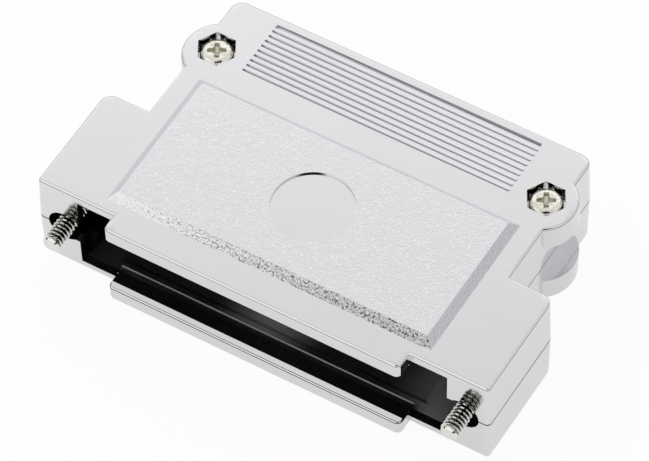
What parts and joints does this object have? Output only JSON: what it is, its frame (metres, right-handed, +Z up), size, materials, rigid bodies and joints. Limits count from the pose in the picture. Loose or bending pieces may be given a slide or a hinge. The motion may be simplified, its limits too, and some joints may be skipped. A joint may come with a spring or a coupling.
{
  "type": "d-sub hood",
  "caption": "Two-part metallised plastic hood for a wide D-sub connector, with floating jackscrews, a ribbed grip and a clamped round cable exit at the back.",
  "frame": {"origin": "midway between the jackscrews, on the ears' front plane and on the plane where the two halves meet", "axes": "+X along the mouth, +Y from the connector back to the cable exit, +Z up through the half with the screw heads"},
  "size_m": [0.072, 0.0456, 0.0182],
  "materials": {
    "metallised_shell": "satin silver metal plating outside, bare glossy black plastic inside",
    "jackscrew_nickel": "nickel plated steel",
    "screw_nickel": "nickel plated steel",
    "clip_steel": "bright spring steel",
    "clamp_plastic": "moulded black plastic"
  },
  "bodies": {
    "hood": {"top_shell": "metallised_shell", "bottom_shell": "metallised_shell", "assembly_screw_left": "screw_nickel", "assembly_screw_right": "screw_nickel", "assembly_nut_left": "screw_nickel", "assembly_nut_right": "screw_nickel", "cable_clamp_upper": "clamp_plastic", "cable_clamp_lower": "clamp_plastic", "clamp_screw_left": "screw_nickel", "clamp_screw_right": "screw_nickel", "clamp_nut_left": "screw_nickel", "clamp_nut_right": "screw_nickel"},
    "clip_left": {"retaining_clip_left": "clip_steel"},
    "jackscrew_left": {"jackscrew_left": "jackscrew_nickel"},
    "clip_right": {"retaining_clip_right": "clip_steel"},
    "jackscrew_right": {"jackscrew_right": "jackscrew_nickel"}
  },
  "joints": [
    {"name": "jackscrew_left_travel", "type": "slide", "parent": "hood", "child": "clip_left", "axis": [0, 1, 0], "range_m": [-0.002, 0.002]},
    {"name": "jackscrew_left_turn", "type": "hinge", "parent": "clip_left", "child": "jackscrew_left", "pos_m": [-0.03175, 0, 0], "axis": [0, 1, 0], "continuous": true},
    {"name": "jackscrew_right_travel", "type": "slide", "parent": "hood", "child": "clip_right", "axis": [0, 1, 0], "range_m": [-0.002, 0.002]},
    {"name": "jackscrew_right_turn", "type": "hinge", "parent": "clip_right", "child": "jackscrew_right", "pos_m": [0.03175, 0, 0], "axis": [0, 1, 0], "continuous": true}
  ]
}
